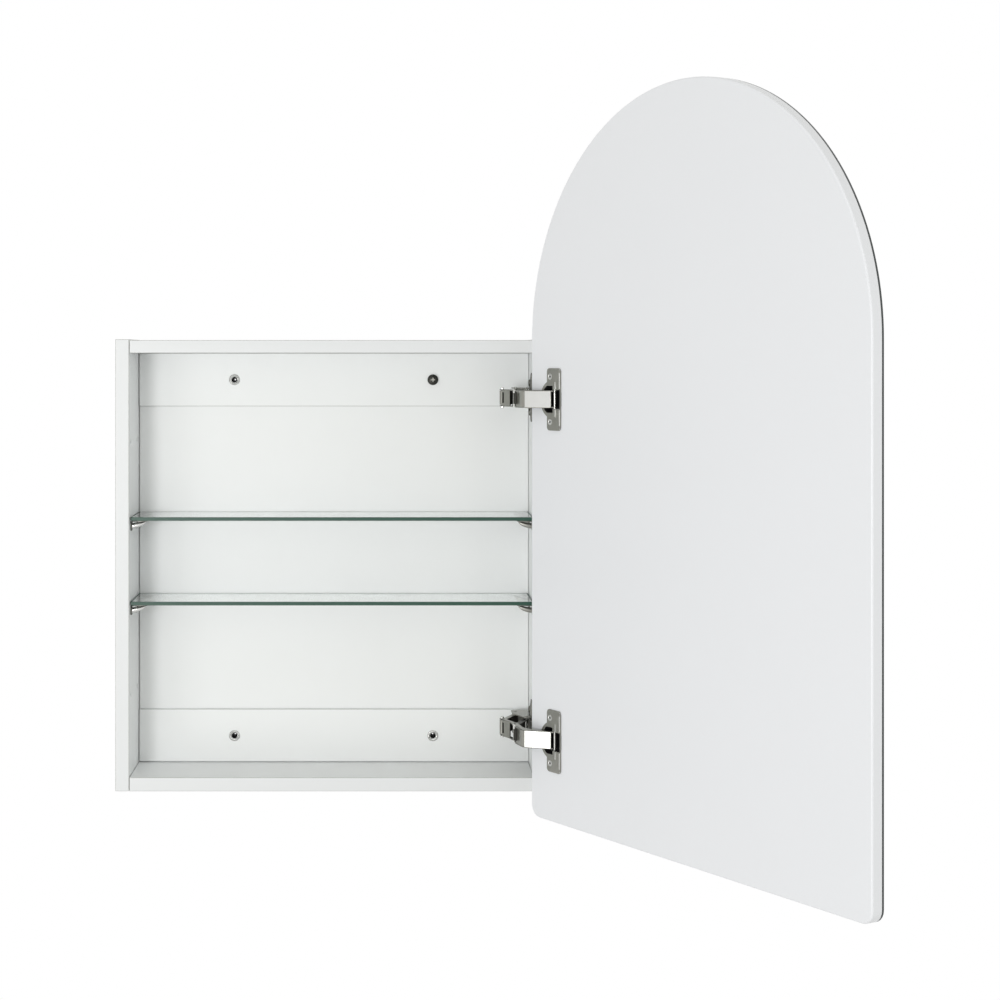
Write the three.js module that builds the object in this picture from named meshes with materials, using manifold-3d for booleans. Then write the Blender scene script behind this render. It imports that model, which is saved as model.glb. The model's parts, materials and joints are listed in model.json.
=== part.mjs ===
// Wall-hung medicine cabinet with an arched mirror door, drawn with the door open.
// Millimetres, +Z up. +X is to the right, +Y goes into the wall, and the door opens towards -Y.
// The origin is on the wall plane, in the middle of the top hanging rail, level with its screws.

import * as THREE from "three";
import { mergeVertices } from "three/addons/utils/BufferGeometryUtils.js";
import Module from "manifold-3d";

const wasm = await Module();
wasm.setup();

// ---- driving dimensions ----------------------------------------------------------------------

// carcass
const cabinetWidth = 471;
const cabinetHeight = 492;
const cabinetDepth = 100;
const boardThickness = 15;
const railHeight = 60;
const railThickness = 15;
const backPanelThickness = 3;
const backPanelStep = 4; // from the rail's front face back to the panel's face
const grooveDepth = 5;
const grooveClearance = 0.3;

// wall fixings
const wallHoleSpacing = 224;
const wallHoleDiameter = 6.4;
const ferruleDiameter = 12.4;
const ferruleBore = 6.8;
const ferruleHeight = 1.6;
const ferruleCrest = 0.7; // where its section is highest, from the bore (0) to the rim (1)
const wallScrewShank = 4.4;
const wallScrewHead = 11.2;
const wallScrewHeadHeight = 2.6;

// glass shelves and their supports
const shelfThickness = 4;
const shelfSideClearance = 1;
const shelfSetBack = 6;
const shelfRearClearance = 0.6;
const pinHoleDiameter = 5.4;
const pinHoleDepth = 10;
const pinRowFront = 15.6;
const pinRowRear = 73;
const firstPinHeight = 88;
const pinPitch = 92.3;
const pinHoleRows = 4;
const shelfRows = [2, 1]; // rows that carry the upper and the lower shelf
const supportPinDiameter = 4.8;
const supportPinLength = 9;
const supportCollarDiameter = 10.6;
const supportCollarThickness = 1.6;
const supportTongueLength = 18;
const supportTongueWidth = 9;
const supportTongueRoot = 7.6;
const supportTongueTip = 1.2;
const supportDrop = 6; // from the glass down to the pin's axis
const seatGap = 0.3;

// door
const doorWidth = 508;
const doorHeight = 762;
const doorDrop = 19; // how far the door hangs below the carcass
const doorOverhang = 18.5; // how far its hinge edge lies past the carcass
const doorBoardThickness = 12;
const doorEdgeRound = 2;
const doorCornerRadius = 13;
const adhesiveFilm = 0.3;
const mirrorThickness = 2;
const doorGap = 2.5; // between the carcass and the closed door
const doorOpening = 121.3; // degrees

// cup hinges, two alike
const upperHingeInset = 64; // from the carcass's top face to the hinge's centre line
const lowerHingeInset = 67; // and from its bottom face
const swingTurn = 102; // degrees that the swing link turns while the door opens
const controlTurn = 101.3;
const bowTurn = 4.5;
const pinRadius = 1.5;
const pinClearance = 0.3;
const sheet = 1.2; // thickness of the pressed steel
const layerGap = 0.3; // between steel cheeks that slide past each other
const bowHalfHeight = 9.3;
const controlHalfHeight = 5.2;
const eyeRadius = 3;
const tailPinRadius = 1.1;
const tailEyeClearance = 0.8; // lets the control link's free end follow the tail pin
const plateThickness = 3;
const plateHalfHeight = 27;
const plateScrewSpacing = 32;
const plateScrewBack = 37; // from the carcass's front to the plate's screws
const smallScrewShank = 4;
const smallScrewHead = 8;
const smallScrewHeadHeight = 1.8;
const smallScrewLength = 11;
const adjustScrewDiameter = 6;
const adjustScrewHeight = 3.4;
const cupRadius = 17.4;
const cupDepth = 11.2;
const cupWall = 1;
const cupBoreClearance = 0.3;
const cupMouthHalfHeight = 10; // where the mouth runs out through the flange
const cupMouthWideHalfHeight = 14.3; // round the pin and towards the door's hinge edge
const cupMouthStep = 2.5; // how far the wide mouth reaches past the pin
const cupPinSeat = 2.4;
const cupLip = 2.6;
const cupWingHalfHeight = 33;
const cupWingNear = 8.2; // from the cup's centre towards the door's hinge edge
const cupPinDepth = 3.3;
const cupScrewSpacing = 48;
const cupScrewOffset = 2.3;
const cupScrewHead = 6.6;
const cupScrewShank = 3.4;
const cupScrewSocket = 2.2;
const cupScrewClearance = 0.4;
const cupScrewLength = 8;
const cupHeadProud = 0.2; // above the flange

// Hinge pivots with the door closed: [in from the side panel's inner face, forward of its front edge].
const armFrontPivot = [7.3, -23.1];
const armRearPivot = [17, -55.6];
const bowPivotClosed = [40.6, -45.3];
const tailPivotClosed = [49.6, -79.1];
const cupPivotClosed = [5, doorGap + cupPinDepth];

// ---- places that follow from them ------------------------------------------------------------

const halfInside = cabinetWidth / 2 - boardThickness;
const front = -cabinetDepth;
const insideTop = railHeight / 2;
const insideBottom = insideTop - (cabinetHeight - 2 * boardThickness);
const cabinetTop = insideTop + boardThickness;
const cabinetBottom = insideBottom - boardThickness;
const railFace = -railThickness;
const backPanelFace = railFace + backPanelStep;
const wallHoleHeights = [0, insideBottom + railHeight / 2];
const hingeHeights = [cabinetTop - upperHingeInset, cabinetBottom + lowerHingeInset];
const pinHoleHeight = (row) => insideBottom + firstPinHeight + row * pinPitch;
const pinHoleHeights = Array.from({ length: pinHoleRows }, (_, row) => pinHoleHeight(row));
const pinRows = [front + pinRowFront, front + pinRowRear];
const doorBottom = cabinetBottom - doorDrop;
const bowInner = bowHalfHeight - sheet;
const armInner = bowHalfHeight + layerGap;
const armHalfHeight = armInner + sheet;
const swingHalfHeight = bowInner - layerGap;
const pinHole = pinRadius + pinClearance;

// ---- materials -------------------------------------------------------------------------------

function finish(color, roughness, metalness = 0) {
  return new THREE.MeshStandardMaterial({ color, roughness, metalness });
}

const whiteMelamine = finish(0xe9ebe9, 0.45);
const whiteLacquer = finish(0xe2e3e5, 0.4);
const silveredGlass = finish(0xd4d9dc, 0.03, 1);
const clearGlass = finish(0xd6ebe2, 0.05);
clearGlass.transparent = true;
clearGlass.opacity = 0.4;
const nickel = finish(0x9b9b93, 0.25, 1);
const brightNickel = finish(0xcfd0cc, 0.18, 1);

// ---- solids ----------------------------------------------------------------------------------

function solid(geometry) {
  const bare = geometry.clone();
  bare.deleteAttribute("normal");
  bare.deleteAttribute("uv");
  const merged = mergeVertices(bare, 1e-4);
  return new wasm.Manifold(new wasm.Mesh({
    numProp: 3,
    vertProperties: new Float32Array(merged.attributes.position.array),
    triVerts: new Uint32Array(merged.index.array),
  }));
}

function geometryOf(body) {
  const { vertProperties, triVerts } = body.getMesh();
  const geometry = new THREE.BufferGeometry();
  geometry.setAttribute("position", new THREE.BufferAttribute(vertProperties, 3));
  geometry.setIndex(new THREE.BufferAttribute(triVerts, 1));
  geometry.computeVertexNormals();
  return geometry;
}

const join = (first, ...rest) => rest.reduce((sum, body) => sum.add(body), first);
const cut = (first, ...rest) => rest.reduce((sum, body) => sum.subtract(body), first);

function box([x0, x1], [y0, y1], [z0, z1]) {
  const geometry = new THREE.BoxGeometry(x1 - x0, y1 - y0, z1 - z0);
  return solid(geometry.translate((x0 + x1) / 2, (y0 + y1) / 2, (z0 + z1) / 2));
}

function extrude(shape, z0, z1, segments = 4) {
  const options = { depth: z1 - z0, bevelEnabled: false, curveSegments: segments };
  return solid(new THREE.ExtrudeGeometry(shape, options).translate(0, 0, z0));
}

// A rod or bore on an axis through [x, y, z], from s0 to s1 along that axis.
function rod(axis, [x, y, z], radius, s0, s1, segments = 16) {
  const geometry = new THREE.CylinderGeometry(radius, radius, s1 - s0, segments);
  geometry.translate(0, (s0 + s1) / 2, 0);
  if (axis === "x") geometry.rotateZ(-Math.PI / 2);
  if (axis === "z") geometry.rotateX(Math.PI / 2);
  return solid(geometry.translate(x, y, z));
}

// A body of revolution about an axis through [x, y, z], from points of [radius, place along it].
function turned(axis, [x, y, z], profile, segments = 16) {
  const geometry = new THREE.LatheGeometry(profile.map(([r, s]) => new THREE.Vector2(r, s)), segments);
  if (axis === "x") geometry.rotateZ(-Math.PI / 2);
  if (axis === "-x") geometry.rotateZ(Math.PI / 2);
  if (axis === "-y") geometry.rotateX(Math.PI);
  return solid(geometry.translate(x, y, z));
}

// An outline through points of [x, y, corner radius], with each corner rounded by its radius.
function outline(points) {
  const shape = new THREE.Shape();
  points.forEach(([x, y, radius = 0], i) => {
    const corner = new THREE.Vector2(x, y);
    if (!radius) {
      if (i) shape.lineTo(x, y);
      else shape.moveTo(x, y);
      return;
    }
    const before = new THREE.Vector2(...points.at(i - 1)).sub(corner).normalize();
    const after = new THREE.Vector2(...points[(i + 1) % points.length]).sub(corner).normalize();
    const half = Math.acos(before.dot(after)) / 2;
    const centre = before.clone().add(after).normalize().multiplyScalar(radius / Math.sin(half)).add(corner);
    const reach = radius / Math.tan(half);
    const from = before.multiplyScalar(reach).add(corner).sub(centre);
    const to = after.multiplyScalar(reach).add(corner).sub(centre);
    shape.absarc(centre.x, centre.y, radius, from.angle(), to.angle(), from.cross(to) < 0);
  });
  return shape;
}

// The outline of a link: two round ends and their outer tangents.
function linkOutline([x0, y0], [x1, y1], radius) {
  const along = Math.atan2(y1 - y0, x1 - x0);
  const shape = new THREE.Shape();
  shape.absarc(x0, y0, radius, along + Math.PI / 2, along + 1.5 * Math.PI, false);
  shape.absarc(x1, y1, radius, along - Math.PI / 2, along + Math.PI / 2, false);
  return shape;
}

function mesh(name, body, material) {
  const part = new THREE.Mesh(geometryOf(body), material);
  part.name = name;
  return part;
}

const cabinet = new THREE.Group();

// ---- carcass ---------------------------------------------------------------------------------

const depthSpan = [front, 0];
const bothSides = [["left", -1], ["right", 1]];

function pinHoles(side) {
  const wall = side * halfInside;
  const span = [0, side * pinHoleDepth].sort((a, b) => a - b);
  const places = pinHoleHeights.flatMap((z) => pinRows.map((y) => [wall, y, z]));
  return places.map((place) => rod("x", place, pinHoleDiameter / 2, ...span, 12));
}

function hingeScrewPlaces() {
  const heights = hingeHeights.flatMap((z) => [z + plateScrewSpacing / 2, z - plateScrewSpacing / 2]);
  return heights.map((z) => [halfInside, front + plateScrewBack, z]);
}

function sidePanel(name, side) {
  const inner = side * halfInside;
  const span = [inner, side * (halfInside + boardThickness)].sort((a, b) => a - b);
  const groove = [inner - side, inner + side * grooveDepth].sort((a, b) => a - b);
  const grooveY = [backPanelFace - grooveClearance, backPanelFace + backPanelThickness + grooveClearance];
  let body = box(span, depthSpan, [cabinetBottom, cabinetTop]);
  body = cut(body, box(groove, grooveY, [insideBottom, insideTop]), ...pinHoles(side));
  if (side > 0) {
    const bore = smallScrewShank / 2 + pinClearance;
    body = cut(body, ...hingeScrewPlaces().map((place) => rod("x", place, bore, -1, smallScrewLength, 12)));
  }
  cabinet.add(mesh(name, body, whiteMelamine));
}

function rail(name, level, panelSide) {
  const edge = level + panelSide * railHeight / 2;
  const groove = [edge - panelSide * grooveDepth, edge + panelSide].sort((a, b) => a - b);
  const grooveY = [backPanelFace - grooveClearance, backPanelFace + backPanelThickness + grooveClearance];
  const span = [-halfInside, halfInside];
  let body = box(span, [railFace, 0], [level - railHeight / 2, level + railHeight / 2]);
  body = cut(body, box([-halfInside - 1, halfInside + 1], grooveY, groove));
  for (const side of [-1, 1]) {
    const place = [side * wallHoleSpacing / 2, 0, level];
    body = cut(body, rod("y", place, wallHoleDiameter / 2, railFace - 1, 1));
  }
  cabinet.add(mesh(name, body, whiteMelamine));
}

function backPanel() {
  const reach = grooveDepth - grooveClearance;
  const x = halfInside + reach;
  const top = wallHoleHeights[0] - railHeight / 2 + reach;
  const bottom = wallHoleHeights[1] + railHeight / 2 - reach;
  const body = box([-x, x], [backPanelFace, backPanelFace + backPanelThickness], [bottom, top]);
  cabinet.add(mesh("back_panel", body, whiteMelamine));
}

bothSides.forEach(([word, side]) => sidePanel(`side_panel_${word}`, side));
const roofBoard = box([-halfInside, halfInside], depthSpan, [insideTop, cabinetTop]);
const floorBoard = box([-halfInside, halfInside], depthSpan, [cabinetBottom, insideBottom]);
cabinet.add(mesh("top_panel", roofBoard, whiteMelamine));
cabinet.add(mesh("bottom_panel", floorBoard, whiteMelamine));
rail("top_rail", wallHoleHeights[0], -1);
rail("bottom_rail", wallHoleHeights[1], 1);
backPanel();

// ---- wall fixings ----------------------------------------------------------------------------

function ferrule(name, x, z) {
  const outer = ferruleDiameter / 2;
  const bore = ferruleBore / 2;
  const crest = bore + (outer - bore) * ferruleCrest;
  const rim = ferruleHeight / 3;
  const profile = [[bore, 0], [outer, 0], [outer, rim], [crest, ferruleHeight], [bore, rim], [bore, 0]];
  cabinet.add(mesh(name, turned("-y", [x, railFace, z], profile, 16), brightNickel));
}

function crossRecess([x, y, z], width, depth, size) {
  const arm = width / 2;
  const reach = size / 2;
  const span = [y - 1, y + depth];
  const level = box([x - reach, x + reach], span, [z - arm, z + arm]);
  return join(level, box([x - arm, x + arm], span, [z - reach, z + reach]));
}

// The screw's head stands on the ferrule, and its shank fills the rail's hole as far as the wall plane.
function wallScrew(name, x, z) {
  const seat = ferruleHeight + seatGap;
  const head = wallScrewHead / 2;
  const shank = wallScrewShank / 2;
  const top = seat + wallScrewHeadHeight;
  const tip = 1 - railThickness;
  const profile = [[0, tip], [shank, tip + shank], [shank, seat], [head, seat], [head, seat + 0.8]];
  profile.push([head * 0.86, top - 0.7], [head * 0.5, top], [0, top]);
  const body = turned("-y", [x, railFace, z], profile, 20);
  cabinet.add(mesh(name, cut(body, crossRecess([x, railFace - top, z], 1.4, 1.6, 6)), nickel));
}

wallHoleHeights.forEach((z, row) => {
  const level = row ? "lower" : "upper";
  for (const [word, side] of bothSides) {
    ferrule(`wall_ferrule_${level}_${word}`, side * wallHoleSpacing / 2, z);
  }
});
wallScrew("wall_screw", wallHoleSpacing / 2, wallHoleHeights[0]);

// ---- glass shelves ---------------------------------------------------------------------------

// A spoon-shaped support: a pin in the side panel, a collar against it and a tapered tongue under the glass.
function shelfSupport(name, side, y, z) {
  const inward = -side;
  const wall = side * halfInside;
  const seat = z + supportDrop;
  const away = (s) => wall + inward * s;
  const wedge = new THREE.Shape([
    [away(0), seat],
    [away(supportTongueLength), seat],
    [away(supportTongueLength), seat - supportTongueTip],
    [away(supportTongueLength * 0.35), seat - supportTongueRoot * 0.9],
    [away(0), seat - supportTongueRoot],
  ].map(([x, height]) => new THREE.Vector2(x, height)));
  const half = supportTongueWidth / 2;
  const options = { depth: supportTongueWidth, bevelEnabled: false };
  const side3d = new THREE.ExtrudeGeometry(wedge, options).rotateX(Math.PI / 2).translate(0, y + half, 0);
  const plan = outline([
    [away(-0.5), y - half],
    [away(supportTongueLength), y - half, half * 0.9],
    [away(supportTongueLength), y + half, half * 0.9],
    [away(-0.5), y + half],
  ]);
  const tongue = solid(side3d).intersect(extrude(plan, seat - supportTongueRoot - 1, seat + 1, 3));
  const axis = side > 0 ? "x" : "-x";
  const pin = supportPinDiameter / 2;
  const profile = [[0, -supportCollarThickness], [supportCollarDiameter / 2, -supportCollarThickness]];
  profile.push([supportCollarDiameter / 2, 0], [pin, 0], [pin, supportPinLength], [0, supportPinLength]);
  const body = join(tongue, turned(axis, [wall, y, z], profile, 12));
  cabinet.add(mesh(name, body, nickel));
}

function shelf(level, row) {
  const height = pinHoleHeights[row];
  const underside = height + supportDrop + seatGap;
  const reach = halfInside - shelfSideClearance;
  const span = [front + shelfSetBack, backPanelFace - shelfRearClearance];
  const glass = box([-reach, reach], span, [underside, underside + shelfThickness]);
  cabinet.add(mesh(`glass_shelf_${level}`, glass, clearGlass));
  for (const [word, side] of bothSides) {
    shelfSupport(`shelf_support_${level}_${word}_front`, side, pinRows[0], height);
    shelfSupport(`shelf_support_${level}_${word}_rear`, side, pinRows[1], height);
  }
}

shelf("upper", shelfRows[0]);
shelf("lower", shelfRows[1]);

// ---- hinges ----------------------------------------------------------------------------------

// Plan places of a hinge are [in from the side panel's inner face, forward of its front edge].
const at = ([inward, forward, ...rest]) => [halfInside - inward, front - forward, ...rest];

function turnAbout([x, y], [cx, cy], degrees) {
  const angle = THREE.MathUtils.degToRad(degrees);
  const [dx, dy] = [x - cx, y - cy];
  return [cx + dx * Math.cos(angle) - dy * Math.sin(angle), cy + dx * Math.sin(angle) + dy * Math.cos(angle)];
}

// The pivots with the door open: the links have turned about the arm's pins and the bow about its own.
const bowPivot = turnAbout(bowPivotClosed, armFrontPivot, swingTurn);
const offset = (from, to) => [to[0] - from[0], to[1] - from[1]];
const plus = (a, b) => [a[0] + b[0], a[1] + b[1]];
const onBow = (closed) => plus(bowPivot, turnAbout(offset(bowPivotClosed, closed), [0, 0], bowTurn));
const cupPivot = onBow(cupPivotClosed);
const tailPivot = onBow(tailPivotClosed);
const controlEnd = turnAbout(tailPivotClosed, armRearPivot, controlTurn);

function pinAt(place, z, radius, half, segments = 16) {
  return rod("z", [...at(place), z], radius, -half, half, segments);
}

// A pair of cheeks of one sheet's thickness, whose outer faces are at the given half height.
function cheeks(shape, z, half, segments = 3) {
  const lower = extrude(shape, z - half, z - half + sheet, segments);
  return [extrude(shape, z + half - sheet, z + half, segments), lower];
}

// A strip one sheet thick that follows a line of plan points, on the inner side of it.
function strip(points, z, half, inside = 1) {
  const path = points.map(at).map(([x, y]) => new THREE.Vector2(x, y));
  const shift = (i) => {
    const before = path[Math.max(i - 1, 0)];
    const after = path[Math.min(i + 1, path.length - 1)];
    const along = after.clone().sub(before).normalize();
    return new THREE.Vector2(-along.y, along.x).multiplyScalar(inside * sheet).add(path[i]);
  };
  const back = path.map((_, i) => shift(i)).reverse();
  return extrude(new THREE.Shape([...path, ...back]), z - half, z + half);
}

function smallScrew(name, place, axis) {
  const head = smallScrewHead / 2;
  const shank = smallScrewShank / 2;
  const seat = plateThickness;
  const top = seat + smallScrewHeadHeight;
  const tip = 0.5 - smallScrewLength;
  const profile = [[0, tip], [shank, tip + shank], [shank, seat], [head, seat], [head, seat + 0.7]];
  profile.push([head * 0.75, top], [0, top]);
  cabinet.add(mesh(name, turned(axis, place, profile, 12), nickel));
}

// Mounting plate: a cross-shaped plate on the side panel, with tapered wings for its two screws.
function mountingPlate(name, z) {
  const wing = 6;
  const spine = 7;
  const frontEnd = armFrontPivot[1] + 6;
  const rearEnd = armRearPivot[1] - 8;
  const middle = -plateScrewBack;
  const cross = [
    [middle + wing * 0.7, plateHalfHeight, 3], [middle + wing, spine, 2], [frontEnd, spine, 1.5],
    [frontEnd, -spine, 1.5], [middle + wing, -spine, 2], [middle + wing * 0.7, -plateHalfHeight, 3],
    [middle - wing * 0.7, -plateHalfHeight, 3], [middle - wing, -spine, 2], [rearEnd, -spine, 1.5],
    [rearEnd, spine, 1.5], [middle - wing, spine, 2], [middle - wing * 0.7, plateHalfHeight, 3],
  ].map(([forward, height, radius]) => [front - forward, z + height, radius]);
  const options = { depth: plateThickness, bevelEnabled: false, curveSegments: 2 };
  const geometry = new THREE.ExtrudeGeometry(outline(cross), options);
  const face = halfInside - plateThickness;
  geometry.applyMatrix4(new THREE.Matrix4().set(0, 0, 1, face, 1, 0, 0, 0, 0, 1, 0, 0, 0, 0, 0, 1));
  const bore = smallScrewShank / 2 + pinClearance;
  const holes = [1, -1].map((way) => {
    const place = [halfInside, front + plateScrewBack, z + way * plateScrewSpacing / 2];
    return rod("x", place, bore, -plateThickness - 1, 1, 12);
  });
  cabinet.add(mesh(name, cut(solid(geometry), ...holes), nickel));
}

// Arm: a channel whose base lies on the mounting plate and whose cheeks carry the two fixed pins.
function hingeArm(name, z) {
  const base = plateThickness;
  const [frontIn, frontForward] = armFrontPivot;
  const [rearIn, rearForward] = armRearPivot;
  const cheek = outline([
    [base, rearForward - 8.4, 1.5], [rearIn + 4.6, rearForward - 8.4, 3], [rearIn + 4.6, rearForward + 14, 6],
    [frontIn + 6, frontForward - 4, 8], [frontIn + 4, frontForward + 5.4, 4], [base, frontForward + 5.4, 1.5],
  ].map(at));
  const baseSpan = [halfInside - base - sheet, halfInside - base];
  const height = [z - armHalfHeight, z + armHalfHeight];
  const rearEnd = front - rearForward + 8;
  const web = box(baseSpan, [front - frontForward + eyeRadius + 1, rearEnd], height);
  const rear = box([halfInside - rearIn, halfInside - base], [rearEnd - sheet, rearEnd], height);
  let body = join(web, rear, ...cheeks(cheek, z, armHalfHeight, 2));
  const pivots = [armFrontPivot, armRearPivot];
  body = cut(body, ...pivots.map((place) => pinAt(place, z, pinHole, armHalfHeight + 1)));
  cabinet.add(mesh(name, body, brightNickel));
}

// The side and depth adjusters: slotted screws that stand on the arm's base.
function adjustScrew(name, forward, z) {
  const radius = adjustScrewDiameter / 2;
  const seat = plateThickness + sheet + seatGap;
  const top = seat + adjustScrewHeight;
  const profile = [[0, seat], [radius, seat], [radius, top - 0.4], [radius - 0.4, top], [0, top]];
  const place = [halfInside, front - forward, z];
  const slotX = halfInside - top;
  const slotReach = radius + 1;
  const slotSpan = [place[1] - slotReach, place[1] + slotReach];
  const slot = box([slotX - 1, slotX + 1.2], slotSpan, [z - 0.6, z + 0.6]);
  cabinet.add(mesh(name, cut(turned("-x", place, profile, 16), slot), brightNickel));
}

// Swing link: two cheeks joined by a web, between the arm's front pin and the bow's pin.
function swingLink(name, z) {
  const hole = (place) => pinAt(place, z, pinHole, swingHalfHeight + 1);
  const between = (share) => plus(armFrontPivot, offset(armFrontPivot, bowPivot).map((d) => d * share));
  const web = strip([between(0.22), between(0.78)], z, swingHalfHeight);
  const sides = cheeks(linkOutline(at(armFrontPivot), at(bowPivot), eyeRadius), z, swingHalfHeight);
  cabinet.add(mesh(name, cut(join(web, ...sides), hole(armFrontPivot), hole(bowPivot)), nickel));
}

// Control link: a solid bar between the arm's rear pin and the bow's tail, with a wide eye on the tail pin.
function controlLink(name, z) {
  const shape = linkOutline(at(armRearPivot), at(controlEnd), eyeRadius);
  const bar = extrude(shape, z - controlHalfHeight, z + controlHalfHeight);
  const rearHole = pinAt(armRearPivot, z, pinHole, controlHalfHeight + 1);
  const eye = pinAt(controlEnd, z, tailPinRadius + tailEyeClearance, controlHalfHeight + 1);
  cabinet.add(mesh(name, cut(bar, rearHole, eye), nickel));
}

// Bow: the goose-necked link that carries the door. Its web covers the tail and the front leg and leaves a
// window beside the swing link. These plan places are measured from the bow's own pivot.
const bowTailTip = [15.2, -36];
const bowTailWeb = [[13, -28.4], [9.6, -21.5], [4.6, -12]];
const bowKnee = [-6.2, 38];
const bowEnd = [-35.4, 49];
const bowLegWeb = [[0.1, 15], [-3.6, 31.5], [-4.8, 35.6], [-8.2, 38.8], bowEnd];
const bowInnerLine = [[-27.6, 37.6, 2], [-15, 31.6, 2], [-9.6, 26.5, 5], [-6.8, 15, 8], [-4.4, -1, 4]];

function bowLink(name, z) {
  const place = (p) => [bowPivot[0] + p[0], bowPivot[1] + p[1], ...p.slice(2)];
  const [noseIn, noseForward] = cupPivot;
  const [tailIn, tailForward] = tailPivot;
  const cheek = outline([
    place([2.5, 0, 6]), place([...bowLegWeb[0], 10]), place([...bowKnee, 4]), place([...bowEnd, 3]),
    [noseIn - 3.4, noseForward + 1.4, 2], [noseIn - 1.4, noseForward - 3.8, 2],
    ...bowInnerLine.map(place),
    [tailIn - 3.2, tailForward + 1, 2], [tailIn - 1.6, tailForward - 2.9, 1.4], place([...bowTailTip, 2]),
    place([...bowTailWeb[0], 8]), place([...bowTailWeb[2], 8]),
  ].map(at));
  const webs = [bowTailWeb, bowLegWeb].map((line) => strip(line.map(place), z, bowHalfHeight));
  let body = join(...cheeks(cheek, z, bowHalfHeight, 2), ...webs);
  body = cut(body, ...[bowPivot, cupPivot].map((pivot) => pinAt(pivot, z, pinHole, bowHalfHeight + 1)));
  body = join(body, pinAt(tailPivot, z, tailPinRadius, bowHalfHeight, 10));
  cabinet.add(mesh(name, body, brightNickel));
}

function hinge(word, z) {
  mountingPlate(`hinge_${word}_plate`, z);
  for (const [end, way] of [["upper", 1], ["lower", -1]]) {
    const place = [halfInside, front + plateScrewBack, z + way * plateScrewSpacing / 2];
    smallScrew(`hinge_${word}_plate_screw_${end}`, place, "-x");
  }
  hingeArm(`hinge_${word}_arm`, z);
  adjustScrew(`hinge_${word}_side_adjuster`, -34, z);
  adjustScrew(`hinge_${word}_depth_adjuster`, -45, z);
  const armPin = (place) => pinAt(place, z, pinRadius, armHalfHeight + 0.6);
  cabinet.add(mesh(`hinge_${word}_arm_pin_front`, armPin(armFrontPivot), brightNickel));
  cabinet.add(mesh(`hinge_${word}_arm_pin_rear`, armPin(armRearPivot), brightNickel));
  swingLink(`hinge_${word}_swing_link`, z);
  controlLink(`hinge_${word}_control_link`, z);
  bowLink(`hinge_${word}_bow_link`, z);
  cabinet.add(mesh(`hinge_${word}_bow_pin`, pinAt(bowPivot, z, pinRadius, bowHalfHeight), brightNickel));
}

hinge("top", hingeHeights[0]);
hinge("bottom", hingeHeights[1]);

// ---- door ------------------------------------------------------------------------------------

// The door is drawn closed in a group of its own, whose origin is the cup hinges' pivot, and is then
// turned open. x is along the door, +y faces the carcass.
const door = new THREE.Group();
const [pivotX, pivotY] = at(cupPivot);
door.position.set(pivotX, pivotY, 0);
door.rotation.z = THREE.MathUtils.degToRad(doorOpening);
cabinet.add(door);

const doorEdge = cupPivotClosed[0] + boardThickness + doorOverhang; // from the pivot to the hinge edge
const doorCentre = doorEdge - doorWidth / 2;
const innerFace = cupPinDepth;
const boardBack = innerFace - doorBoardThickness;
const mirrorBack = boardBack - adhesiveFilm;

// The arched outline, in the door's plane: x along it and y up.
function archOutline() {
  const half = doorWidth / 2;
  const spring = doorBottom + doorHeight - half;
  const corner = doorCornerRadius;
  const arc = (x, y, radius, from, turn, steps) => Array.from({ length: steps + 1 }, (_, i) => {
    const angle = from + turn * (i / steps);
    return new THREE.Vector2(x + radius * Math.cos(angle), y + radius * Math.sin(angle));
  });
  return new THREE.Shape([
    ...arc(doorCentre + half - corner, doorBottom + corner, corner, -Math.PI / 2, Math.PI / 2, 6),
    ...arc(doorCentre, spring, half, 0, Math.PI, 56),
    ...arc(doorCentre - half + corner, doorBottom + corner, corner, Math.PI, Math.PI / 2, 6),
  ]);
}

// A slab with the door's outline between two places on y; its +y edges may be rounded.
function doorSlab(y0, y1, round = 0) {
  const options = { depth: y1 - y0, bevelEnabled: round > 0 };
  Object.assign(options, { bevelThickness: round, bevelSize: round, bevelOffset: -round, bevelSegments: 2 });
  const geometry = new THREE.ExtrudeGeometry(archOutline(), options).rotateX(Math.PI / 2);
  const slab = solid(geometry.translate(0, y1 - round, 0));
  const reach = doorWidth + doorHeight;
  return round ? slab.intersect(box([-reach, reach], [y0, y1 + 1], [-reach, reach])) : slab;
}

const cupFlangeBack = innerFace + seatGap;
const cupFlangeFace = cupFlangeBack + sheet;
const cupHeadTop = cupFlangeFace + cupHeadProud - innerFace; // from the door's inner face

// The places of a hinge cup's two screws, on the door's inner face.
function cupScrewPlaces(z) {
  return [1, -1].map((way) => [cupScrewOffset, innerFace, z + way * cupScrewSpacing / 2]);
}

function doorBoard() {
  let body = doorSlab(boardBack, innerFace, doorEdgeRound);
  const bore = cupRadius + cupBoreClearance;
  const bottom = -cupDepth - seatGap;
  for (const z of hingeHeights) body = cut(body, rod("y", [0, innerFace, z], bore, bottom, 1, 32));
  const pilot = cupScrewShank / 2 + seatGap;
  for (const place of hingeHeights.flatMap(cupScrewPlaces)) {
    body = cut(body, rod("y", place, pilot, -cupScrewLength, 1, 12));
  }
  door.add(mesh("door_board", body, whiteLacquer));
}

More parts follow.
